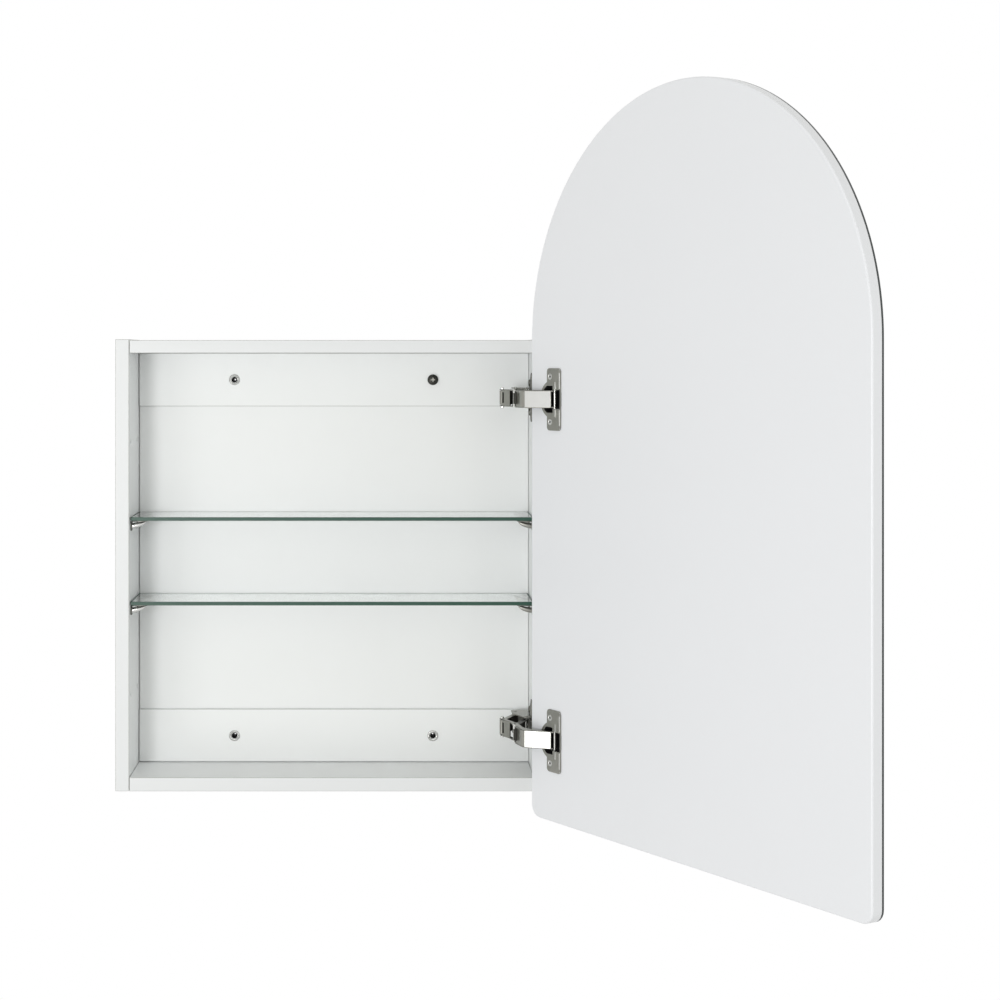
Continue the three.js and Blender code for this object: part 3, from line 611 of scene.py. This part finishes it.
# ---- glass shelves and their supports -----------------------------------------------------------

GLASS_ARRIS_WIDTH = 0.2
# the width of the painted reflection strip at each end of the glass's faces
GLASS_END = 1.3
SUPPORT_COLLAR = 10.6
HORN_RISE = 4.2


def glass_shelf(node):
    low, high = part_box(node)
    bm = ease(block(low, high), GLASS_ARRIS_WIDTH, segments=1)
    for end, way in ((low.x, 1), (high.x, -1)):
        seam = Vector((end + way * GLASS_END * MM, 0, 0))
        whole = bm.verts[:] + bm.edges[:] + bm.faces[:]
        bmesh.ops.bisect_plane(bm, geom=whole, plane_co=seam, plane_no=(1, 0, 0))
    reach = max(abs(low.x), abs(high.x)) - GLASS_END * MM
    # The side faces take the glass edge's own colour; the strips at both ends of the top and bottom faces take it
    # too, as a painted reflection of the dark end edges seen in the glass.
    painted(bm, 1, lambda face: abs(face.normal.z) < 0.9 or abs(face.calc_center_median().x) > reach)
    shelf = stand_in(node, bm, LOOKS["shelf_glass"], GLASS_EDGE)
    shelf.visible_shadow = False


def shelf_support(level_name, side, row):
    """A pin with a collar, a horn that rises to its tip, and a thin rounded tongue under the glass."""
    collar = [[0, -9], [1.9, -9], [2.4, -8.5], [2.4, 0], [5.3, 0], [5.3, 1.1], [4.8, 1.6], [0, 1.6]]
    horn = [[0, 1], [2.9, 1], [2.9, 4], [2.75, 8], [2.4, 11.5], [1.8, 14], [1, 16], [0, 16.4]]
    horn = aimed(turned(horn), (1, 0, 0), (0, 0, 0))
    for vert in horn.verts:
        vert.co.z += HORN_RISE * MM * (vert.co.x / (16.4 * MM)) ** 2
    tongue = [[1.4, -3.2], [8, -4.5, 8], [18, -4.5, 4.3], [18, 4.5, 4.3], [8, 4.5, 8], [1.4, 3.2]]
    tongue = ease(plate(tongue, 4.9, 6), 0.3)
    body = combined("UNION", aimed(turned(collar), (1, 0, 0), (0, 0, 0)), horn, tongue)

    def grey(face):
        centre = face.calc_center_median()
        return centre.x < 1.61 * MM or centre.z > 4.7 * MM

    # Painted shade: the collar and the faces high on the support are grey.
    painted(body, 1, grey)
    turn = Matrix.Rotation(0 if side == "left" else math.pi, 4, "Z")
    place = Matrix.Translation(pin_centre(level_name, side, row)) @ turn
    node = f"shelf_support_{level_name}_{side}_{row}"
    # The left supports take polished nickel and the right ones plain nickel: lighter and darker copies of one
    # finish, painted highlight and painted shade.
    stand_in(node, moved(body, place), POLISHED_NICKEL_AND_HIGHLIGHT if side == "left" else LOOKS["nickel"], GREY_STEEL_AND_SHADE)


# ---- door ---------------------------------------------------------------------------------------

# The door's own frame: x towards its hinge edge, y up and z from its inner face towards the mirror, with
# the cup hinges' pivot line at x = z = 0.
door_turn = sum(sum(JOINT[name]["range_deg"]) for name in ("swing_link_turn", "bow_link_turn", "cup_turn"))
cup_pivot = Vector((*JOINT["cup_turn"]["pos_m"][:2], 0))
DOOR = Matrix.Translation(cup_pivot) @ Matrix.Rotation(math.radians(door_turn), 4, "Z")
DOOR = DOOR @ Matrix.Rotation(math.radians(90), 4, "X")
ARCH_STEPS = 48
DOOR_CORNER_RADIUS = 13
DOOR_EDGE_ROUND = 2
CUP_RADIUS = 17.4
CUP_FAR_EDGE = -16.1


def arch(node, steps=ARCH_STEPS):
    """The door's outline for a node's box: a half circle over straight sides, with small lower corners."""
    (left, bottom, low), (right, top, high) = span(node, DOOR)
    radius = (right - left) / 2
    foot = DOOR_CORNER_RADIUS
    corners = [[left, bottom, foot], [right, bottom, foot]]
    corners += [[right, top, radius, steps], [left, top, radius, steps]]
    return plate(corners, low, high), low, high


def door_board():
    bm, inner, outer = arch("door_board")
    ease(bm, DOOR_EDGE_ROUND, segments=5, crease=60, where=level(inner))
    ease(bm, 0.3, segments=1, crease=60, where=level(outer))
    tools = []
    for word in HINGES:
        low, high = span(f"hinge_{word}_cup", DOOR)
        middle = (low[1] + high[1]) / 2
        hole = bore(2 * CUP_RADIUS + 0.6, 11.5, (0, 0, 1), Vector((0, middle, inner)) * MM)
        clear = Vector((30, 30, 30))
        low_corner = Vector((CUP_FAR_EDGE - 0.1, middle - clear.y, -clear.z))
        near_side = block(low_corner * MM, Vector((clear.x, middle + clear.y, clear.z)) * MM)
        tools.append(combined("INTERSECT", hole, near_side))
        for place in cup_screw_places(word):
            place.z = inner
            tools.append(bore(4, 8, (0, 0, 1), place * MM))
    stand_in("door_board", moved(combined("DIFFERENCE", bm, *tools), DOOR))


def mirror():
    bm, *_ = arch("mirror_glass")
    ease(bm, 0.25, segments=1, crease=60)
    painted(bm, 1, lambda part: abs(part.normal.z) < 0.9)
    painted(bm, 2, lambda part: part.normal.z < -0.9)
    stand_in("mirror_glass", moved(bm, DOOR), LOOKS["mirror"], MIRROR_EDGE, MIRROR_BACKING)


# ---- hinges -------------------------------------------------------------------------------------

PLATE_SCREW_SHANK = 4
PLATE_SCREW_DEPTH = 11.5
STEEL_EASE = 0.2
SHORTEST_FOLD = 0.75
BOW_LINK_FOLD = 0.9
# the way the web faces turn that take the painted highlight
WEB_FACING = Vector((-0.351, -0.936, 0))
INSIDE, FOLDS, WEB, BAR = 1, 2, 3, 4  # the finish numbers of a pressed steel link
OPENING_FOOT = 3.7
OPENING_HEAD = 3.2
BAR_INSET = 0.6
WINDOW = [[196, -133], [201, -133], [201, -128], [196, -128]]
TAIL_SLOT = [[183, -90.9], [191, -90.9], [191, -87.6], [183, -87.6]]
WINDOW_BAR = [[196.41, -117.6], [197.39, -123.4], [197.84, -123.3], [196.86, -117.5]]
TAIL_PIN_PLACE = (186.8, -81.1)
TAIL_PIN_HEAD = 2.2
TAIL_PIN_HEAD_RADIUS = 1.9
TAIL_PIN_SHANK = 1.2
CONTROL_LINK_HALF = 7.6
PLATE_SPINE = 7
PLATE_TAPER = 0.09


def plate_screw(word, end):
    """A pan-head screw with a cross recess, through the mounting plate into the side panel."""
    profile = [[0, -10.5], [2, -8.5], [2, 3], [4, 3], [4, 3.5]]
    profile += [[3.75, 4.1], [3.1, 4.55], [2.1, 4.75], [0, 4.8]]
    bm = combined("DIFFERENCE", turned(profile), cross_recess(0.55, 2.3, 4.8, 1.4))
    place = plate_screw_place(word, end)
    place.x += PLATE_TAPER * (16 - PLATE_SPINE) * MM
    stand_in(f"hinge_{word}_plate_screw_{end}", aimed(bm, (-1, 0, 0), place), GREY_STEEL_AND_SHADE)


def adjuster(node):
    """A slotted adjusting screw that stands on the arm's base."""
    low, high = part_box(node)
    radius, height = (high.z - low.z) / 2 / MM, (high.x - low.x) / MM
    profile = [[0, 0], [radius, 0], [radius, height - 0.4], [radius - 0.4, height], [0, height]]
    slot = plate([[-0.6, -5], [0.6, -5], [0.6, 5], [-0.6, 5]], height - 1.2, height + 1)
    slot = moved(slot, Matrix.Rotation(math.radians(90), 4, "Z"))
    bm = combined("DIFFERENCE", turned(profile), slot)
    stand_in(node, aimed(bm, (-1, 0, 0), Vector((high.x, (low.y + high.y) / 2, (low.z + high.z) / 2))))


def pin(node, look, place=Matrix(), along=2):
    """A pin with chamfered ends, along one axis of a frame."""
    low, high = span(node, place)
    across = (along + 1) % 3
    radius, half = (high[across] - low[across]) / 2, (high[along] - low[along]) / 2
    profile = [[0, -half], [radius - 0.3, -half], [radius, 0.3 - half]]
    profile += [[radius, half - 0.3], [radius - 0.3, half], [0, half]]
    middle = Vector([(a + b) / 2 for a, b in zip(low, high)])
    axis = [float(k == along) for k in range(3)]
    stand_in(node, moved(aimed(turned(profile, 24), axis, middle * MM), place), look)


def cup_screw_places(word):
    """The two screws' places in the door's frame, in millimetres."""
    places = []
    for end in ("upper", "lower"):
        low, high = span(f"hinge_{word}_cup_screw_{end}", DOOR)
        places.append(Vector(((low[0] + high[0]) / 2, (low[1] + high[1]) / 2, low[2])))
    return places


def cup_screw(word, end, place):
    """A countersunk screw, almost flush with the flange, with a ring round its socket, which is painted black as
    painted shade.
    """
    profile = [[0, -9.1], [1.7, -7.4], [1.7, -1.6], [3.3, -0.15]]
    profile += [[3.2, 0], [2.5, 0], [2.2, -0.25], [0, -0.25]]
    bm = combined("DIFFERENCE", turned(profile), bore(2.4, 1.2, (0, 0, -1), (0, 0, 0)))
    # Painted shade: the socket's inside is black.
    painted(bm, 1, lambda face: Vector(face.calc_center_median().xy).length < 1.21 * MM and in_socket(face))
    bm = aimed(bm, (0, 0, -1), place * MM)
    node = f"hinge_{word}_cup_screw_{end}"
    stand_in(node, moved(bm, DOOR), POLISHED_NICKEL_AND_HIGHLIGHT, PAINTED_SHADE_BLACK)


def in_socket(face):
    return -1.3 * MM < face.calc_center_median().z < -0.3 * MM


def cup_rib(near, far, start, end, way, low, high, radius):
    """A rounded rib on the flange, above or below the cup."""
    corners = [[near, way * start], [far, way * start], [far, way * end], [near, way * end]]
    return ease(plate(corners[::way], low, high), radius)


def hinge_cup(word):
    """A cup with a slot-shaped mouth, and a flange with a round lip and two wings over the door's face."""
    node = f"hinge_{word}_cup"
    (_, bottom, face), (right, top, deep) = span(node, DOOR)
    left = CUP_FAR_EDGE
    rim = left + 0.9
    middle = (bottom + top) / 2
    half = (top - bottom) / 2
    back = face + 1.2
    wings = plate([[left, -half, 4], [8.2, -half, 4], [8.2, half, 4], [left, half, 4]], face, back)
    lip = combined("INTERSECT", turned([[0, face], [right, face], [right, back], [0, back]], 64),
                   block(Vector((0, -30, -9)) * MM, Vector((30, 30, 9)) * MM))
    flange = combined("UNION", wings, lip)
    bmesh.ops.dissolve_limit(flange, angle_limit=math.radians(1), verts=flange.verts, edges=flange.edges)

    def far_edge(edge):
        return level(face)(edge) and all(vert.co.x < (left + 0.01) * MM for vert in edge.verts)

    ease(flange, 1.1, segments=1, crease=60, where=far_edge)
    ease(flange, 0.5, segments=2, crease=60, where=level(face))
    ribs = [cup_rib(-8, -6.4, 10.4, 18.6, way, face - 0.5, back, 0.3) for way in (1, -1)]
    ribs += [cup_rib(left + 0.9, left + 2.1, 11, half - 5, way, face - 0.45, back, 0.4) for way in (1, -1)]
    outer = CUP_RADIUS
    profile = [[0, back - 0.4], [outer, back - 0.4], [outer, deep - 1.2], [outer - 1.2, deep], [0, deep]]
    shell = turned(profile, 64)
    shell = combined("INTERSECT", shell, block(Vector((left, -30, -30)) * MM, Vector((30, 30, 30)) * MM))
    body = combined("UNION", flange, *ribs, shell)
    well = turned([[0, face - 1], [outer - 1, face - 1], [outer - 1, deep - 1], [0, deep - 1]], 64)
    wide = plate([[-2.5, -14.3], [outer, -14.3], [outer, 14.3], [-2.5, 14.3]], face - 1, deep)
    narrow = plate([[rim, -10], [outer, -10], [outer, 10], [rim, 10]], face - 1, deep)
    mouth = combined("INTERSECT", well, combined("UNION", wide, narrow))
    run_out = plate([[rim, -10], [outer - 1, -10], [outer - 1, 10], [rim, 10]], face - 1, back - 0.3)
    pin_bore = aimed(turned([[0, -outer], [1.8, -outer], [1.8, outer], [0, outer]], 24), (0, 1, 0), (0, 0, 0))
    sinks = []
    for place in cup_screw_places(word):
        sink = turned([[0, -6], [2.1, -6], [2.1, -1.6], [3.7, 0], [3.7, 1], [0, 1]], 32)
        sinks.append(aimed(sink, (0, 0, -1), (place - Vector((0, middle, 0))) * MM))
    body = combined("DIFFERENCE", body, mouth, run_out, pin_bore, *sinks)
    # Painted shade: the mouth and its shallow run-out are black.
    painted(body, 1, lambda part: in_mouth(part, back, deep))
    # Painted highlight: the ribs and the far chamfer take polished nickel.
    painted(body, 2, lambda part: part.calc_center_median().z < (face - 0.05) * MM or on_far_chamfer(part))
    moved(body, DOOR @ Matrix.Translation((0, middle * MM, 0)))
    stand_in(node, body, LOOKS["nickel"], PAINTED_SHADE_BLACK, POLISHED_NICKEL_AND_HIGHLIGHT)


def on_far_chamfer(face):
    outward = face.normal.x < -0.3 and face.normal.z < -0.3
    return outward and face.calc_center_median().x < (CUP_FAR_EDGE + 1.15) * MM


def in_mouth(face, back, deep):
    centre = face.calc_center_median() / MM
    inside = centre.xy.length < CUP_RADIUS - 0.9 and abs(centre.y) < 14.4
    shallow = CUP_FAR_EDGE + 0.8 < centre.x < 15 and abs(centre.y) < 10.1 and centre.z > back - 0.95
    return centre.z < deep - 0.5 and (inside and centre.z > back - 0.2 or shallow)


def pressed_steel(node, fold, outside, within, *finer):
    """The node's own shape with its outer folds rounded and painted grey as painted shade, a finish of its own on
    the inside, a painted highlight in polished nickel on its web, and on the bow link a pale bar as a painted
    highlight.
    """
    low, high = span(node)
    middle, half = (low[2] + high[2]) / 2, (high[2] - low[2]) / 2
    bm = copied(node)

    def on_fold(edge):
        outer = all(abs(abs(vert.co.z / MM - middle) - half) < 0.01 for vert in edge.verts)
        return outer and edge.calc_length() > SHORTEST_FOLD * MM

    ease(bm, fold, segments=3, crease=60, where=on_fold)
    ease(bm, STEEL_EASE)
    heart = sum((vert.co for vert in bm.verts), Vector()) / len(bm.verts)
    for operation, tool in finer:
        bm = combined(operation, bm, tool)

    def inside(face):
        centre = face.calc_center_median()
        if abs(centre.z / MM - middle) > half - 0.7:
            return False
        return abs(face.normal.z) > 0.9 or face.normal.dot(centre - heart) < 0

    painted(bm, INSIDE, inside)
    # Painted shade: the rounded folds are grey.
    painted(bm, FOLDS, lambda face: 0.2 < abs(face.normal.z) < 0.97)
    # Painted highlight: the web faces turned towards WEB_FACING take polished nickel.
    painted(bm, WEB, lambda face: face.normal.dot(WEB_FACING) > 0.995)
    if node.endswith("bow_link"):
        # Painted highlight: the bar behind the window takes the pale paint.
        painted(bm, BAR, on_window_bar)
    stand_in(node, bm, outside, within, GREY_STEEL_AND_SHADE, POLISHED_NICKEL_AND_HIGHLIGHT, BAR_PAINTED_HIGHLIGHT)


def bow_link(word):
    """The long link: its web has a window with a pale bar behind it, painted as a highlight, and a slot beside the
    tail pin.
    """
    node = f"hinge_{word}_bow_link"
    low, high = span(node)
    bar = plate(WINDOW_BAR, low[2] + BAR_INSET, high[2] - BAR_INSET)
    span_z = low[2] + OPENING_FOOT, high[2] - OPENING_HEAD
    openings = [plate(corners, *span_z) for corners in (WINDOW, TAIL_SLOT)]
    finer = (("DIFFERENCE", openings[0]), ("DIFFERENCE", openings[1]), ("UNION", bar))
    # Painted shade: the bow link's inside is dark.
    pressed_steel(node, BOW_LINK_FOLD, LOOKS["nickel"], DARK_STEEL_AND_SHADE, *finer)


def on_window_bar(face):
    centre = face.calc_center_median() / MM
    return WINDOW_BAR[1][1] - 0.1 < centre.y < WINDOW_BAR[0][1] + 0.1 and centre.x < WINDOW_BAR[2][0] + 0.1


def tail_pin(word):
    """The headed pin that joins the control link to the bow link's tail."""
    body = BODY_OF[f"hinge_{word}_bow_link"]
    low, high = span(f"hinge_{word}_bow_link")
    seat = (high[2] - low[2]) / 2 + 0.05
    half = (high[2] - low[2]) / 2 + TAIL_PIN_HEAD
    rim = TAIL_PIN_HEAD_RADIUS
    side = [[TAIL_PIN_SHANK, seat], [rim, seat], [rim, half - 0.6], [rim - 0.6, half], [0, half]]
    profile = [[radius, -height] for radius, height in reversed(side)] + side
    place = Vector((*TAIL_PIN_PLACE, (low[2] + high[2]) / 2)) * MM
    bm = aimed(turned(profile, 24), (0, 0, 1), place)
    finished(f"hinge_{word}_tail_pin", bm, [POLISHED_NICKEL_AND_HIGHLIGHT], body=body)


def control_link(word):
    """The short link between the arm and the bow link's tail, painted dark as painted shade on the side that faces
    the arm.
    """
    node = f"hinge_{word}_control_link"
    low, high = span(node)
    middle, half = (low[2] + high[2]) / 2, (high[2] - low[2]) / 2
    bm = ease(copied(node), STEEL_EASE)
    bmesh.ops.translate(bm, vec=(0, 0, -middle * MM), verts=bm.verts)
    bmesh.ops.scale(bm, vec=(1, 1, CONTROL_LINK_HALF / half), verts=bm.verts)
    bmesh.ops.translate(bm, vec=(0, 0, middle * MM), verts=bm.verts)
    # Painted shade: the faces turned towards the arm are dark.
    stand_in(node, painted(bm, 1, lambda face: face.normal.x > 0.3), LOOKS["nickel"], DARK_STEEL_AND_SHADE)


def mounting_plate(word):
    """A cross-shaped plate whose wings thin out towards their ends."""
    node = f"hinge_{word}_plate"
    low, high = span(node)
    middle = (low[2] + high[2]) / 2
    bm = ease(copied(node), STEEL_EASE)
    for vert in bm.verts:
        reach = abs(vert.co.z / MM - middle) - PLATE_SPINE
        if reach > 0 and vert.co.x / MM < high[0] - 0.5:
            vert.co.x += PLATE_TAPER * reach * MM
    stand_in(node, bm, GREY_STEEL_AND_SHADE)


def hinge(word):
    mounting_plate(word)
    pressed_steel(f"hinge_{word}_arm", 0.5, LOOKS["nickel"], LOOKS["nickel"])
    # Painted shade: the swing link is dark all over.
    pressed_steel(f"hinge_{word}_swing_link", 0.5, DARK_STEEL_AND_SHADE, DARK_STEEL_AND_SHADE)
    bow_link(word)
    tail_pin(word)
    control_link(word)
    for end in ("upper", "lower"):
        plate_screw(word, end)
    for part in ("side", "depth"):
        adjuster(f"hinge_{word}_{part}_adjuster")
    for part in ("arm_pin_front", "arm_pin_rear"):
        pin(f"hinge_{word}_{part}", LOOKS["bright_nickel"])
    # Painted shade: the bow pin inside the window is dark.
    pin(f"hinge_{word}_bow_pin", DARK_STEEL_AND_SHADE)
    pin(f"hinge_{word}_cup_pin", LOOKS["bright_nickel"], DOOR, 1)
    hinge_cup(word)
    for end, place in zip(("upper", "lower"), cup_screw_places(word)):
        cup_screw(word, end, place)


camera()
studio()
floor()
for name, node in frame["nodes"].items():
    for holder in node.material_slots:
        holder.material = LOOKS[SLOT_OF[name]]
carcass()
for level_name in ("upper", "lower"):
    glass_shelf(f"glass_shelf_{level_name}")
    for side in SIDES:
        ferrule(f"wall_ferrule_{level_name}_{side}")
        shelf_support(level_name, side, "front")
        shelf_support(level_name, side, "rear")
wall_screw()
door_board()
mirror()
for word in HINGES:
    hinge(word)

corners = lambda pair: [list(corner) for corner in pair]
{"cad": corners(cad_bounds), "visual": corners(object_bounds())}
